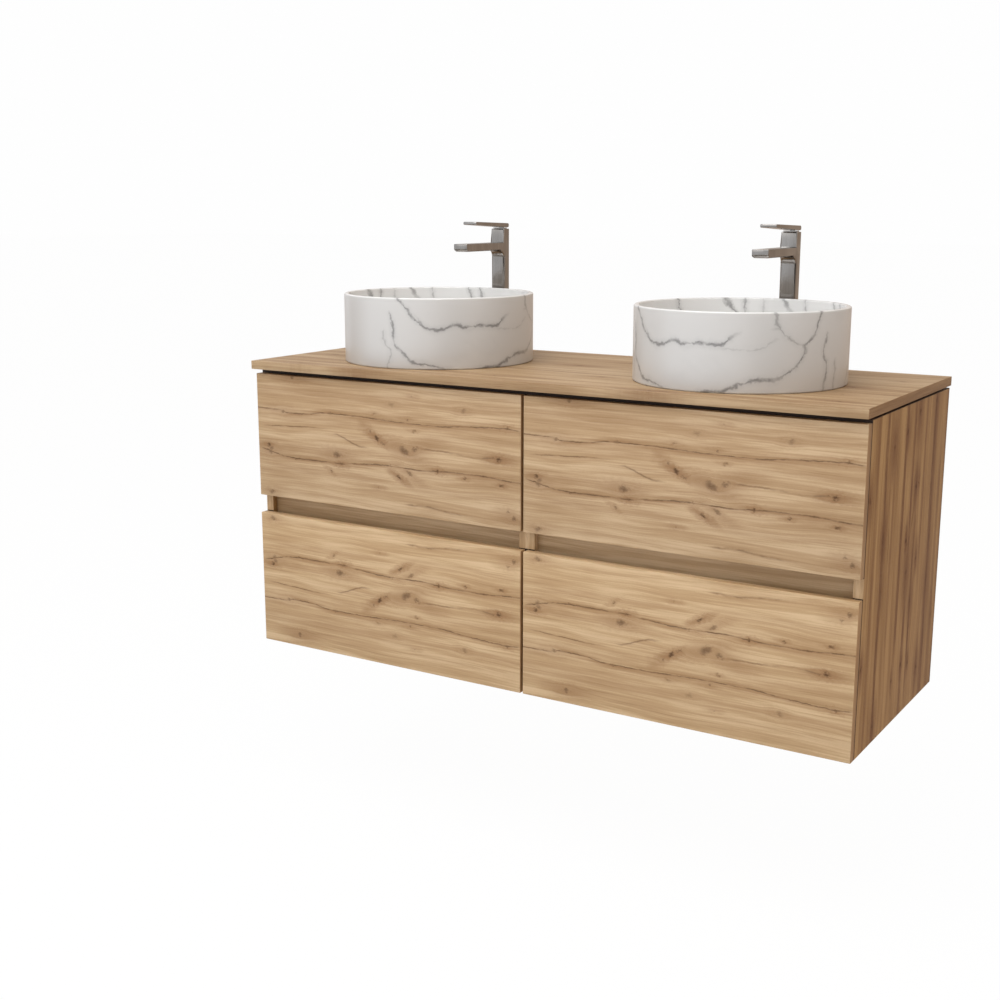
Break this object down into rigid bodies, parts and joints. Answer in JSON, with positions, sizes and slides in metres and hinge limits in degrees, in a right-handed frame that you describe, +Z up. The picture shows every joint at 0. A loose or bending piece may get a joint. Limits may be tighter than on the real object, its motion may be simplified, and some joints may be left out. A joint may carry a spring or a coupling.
{
  "type": "vessel sink vanity",
  "caption": "Wall-hung wood-finish vanity with handleless drawers, round vessel sinks on its worktop and tall single-lever mixer taps; drawers, levers and waste plugs move.",
  "frame": {"origin": "on the wall plane, half way across the cabinets and level with their underside", "axes": "+X to the right as seen by the user, +Y into the wall, the fronts face -Y, +Z up"},
  "size_m": [1.2, 0.46, 0.8167],
  "materials": {
    "oak": "matt laminate with a rustic oak grain",
    "drawer_board": "grey textile-pattern laminate",
    "runner_steel": "grey epoxy-coated steel",
    "zinc": "zinc plated",
    "pad_rubber": "black rubber",
    "marble_ceramic": "satin white glaze with grey marble veins",
    "waste_chrome": "polished",
    "trap_plastic": "white polypropylene",
    "tap_nickel": "dark brushed nickel",
    "aerator_plastic": "dark moulded plastic"
  },
  "bodies": {
    "cabinet": {"worktop": "oak", "worktop_pads": "pad_rubber", "left_outer_side": "oak", "left_inner_side": "oak", "right_inner_side": "oak", "right_outer_side": "oak", "left_bottom_panel": "oak", "right_bottom_panel": "oak", "left_finger_board": "oak", "right_finger_board": "oak", "left_cross_rails": "oak", "right_cross_rails": "oak", "cabinet_bolts": "zinc", "wall_hangers": "zinc", "wall_plates": "zinc", "left_upper_cabinet_runners": "runner_steel", "right_upper_cabinet_runners": "runner_steel", "left_lower_cabinet_runners": "runner_steel", "right_lower_cabinet_runners": "runner_steel", "left_sink": "marble_ceramic", "right_sink": "marble_ceramic", "left_waste": "waste_chrome", "right_waste": "waste_chrome", "left_trap_body": "trap_plastic", "right_trap_body": "trap_plastic", "left_trap_pipe": "trap_plastic", "right_trap_pipe": "trap_plastic", "trap_cups": "trap_plastic", "left_tap_body": "tap_nickel", "right_tap_body": "tap_nickel", "aerators": "aerator_plastic", "tap_nuts": "zinc"},
    "left_upper_drawer": {"left_upper_front": "oak", "left_upper_box_sides": "drawer_board", "left_upper_box_back": "drawer_board", "left_upper_box_well": "drawer_board", "left_upper_box_bottom": "drawer_board", "left_upper_drawer_runners": "runner_steel"},
    "left_lower_drawer": {"left_lower_front": "oak", "left_lower_box_sides": "drawer_board", "left_lower_box_back": "drawer_board", "left_lower_box_bottom": "drawer_board", "left_lower_drawer_runners": "runner_steel"},
    "left_plug": {"left_waste_plug": "waste_chrome"},
    "left_neck": {"left_tap_neck": "tap_nickel"},
    "left_lever": {"left_tap_lever": "tap_nickel"},
    "right_upper_drawer": {"right_upper_front": "oak", "right_upper_box_sides": "drawer_board", "right_upper_box_back": "drawer_board", "right_upper_box_well": "drawer_board", "right_upper_box_bottom": "drawer_board", "right_upper_drawer_runners": "runner_steel"},
    "right_lower_drawer": {"right_lower_front": "oak", "right_lower_box_sides": "drawer_board", "right_lower_box_back": "drawer_board", "right_lower_box_bottom": "drawer_board", "right_lower_drawer_runners": "runner_steel"},
    "right_plug": {"right_waste_plug": "waste_chrome"},
    "right_neck": {"right_tap_neck": "tap_nickel"},
    "right_lever": {"right_tap_lever": "tap_nickel"}
  },
  "joints": [
    {"name": "left_upper_drawer_slide", "type": "slide", "parent": "cabinet", "child": "left_upper_drawer", "axis": [0, -1, 0], "range_m": [0, 0.26]},
    {"name": "left_lower_drawer_slide", "type": "slide", "parent": "cabinet", "child": "left_lower_drawer", "axis": [0, -1, 0], "range_m": [0, 0.26]},
    {"name": "left_tap_swivel", "type": "hinge", "parent": "cabinet", "child": "left_neck", "pos_m": [-0.308, -0.0295, 0.802], "axis": [0, 0, 1], "range_deg": [-45, 45]},
    {"name": "left_tap_lift", "type": "hinge", "parent": "left_neck", "child": "left_lever", "pos_m": [-0.308, -0.024, 0.8087], "axis": [-1, 0, 0], "range_deg": [0, 25]},
    {"name": "left_plug_slide", "type": "slide", "parent": "cabinet", "child": "left_plug", "axis": [0, 0, 1], "range_m": [0, 0.008]},
    {"name": "right_upper_drawer_slide", "type": "slide", "parent": "cabinet", "child": "right_upper_drawer", "axis": [0, -1, 0], "range_m": [0, 0.26]},
    {"name": "right_lower_drawer_slide", "type": "slide", "parent": "cabinet", "child": "right_lower_drawer", "axis": [0, -1, 0], "range_m": [0, 0.26]},
    {"name": "right_tap_swivel", "type": "hinge", "parent": "cabinet", "child": "right_neck", "pos_m": [0.308, -0.0295, 0.802], "axis": [0, 0, 1], "range_deg": [-45, 45]},
    {"name": "right_tap_lift", "type": "hinge", "parent": "right_neck", "child": "right_lever", "pos_m": [0.308, -0.024, 0.8087], "axis": [-1, 0, 0], "range_deg": [0, 25]},
    {"name": "right_plug_slide", "type": "slide", "parent": "cabinet", "child": "right_plug", "axis": [0, 0, 1], "range_m": [0, 0.008]}
  ]
}
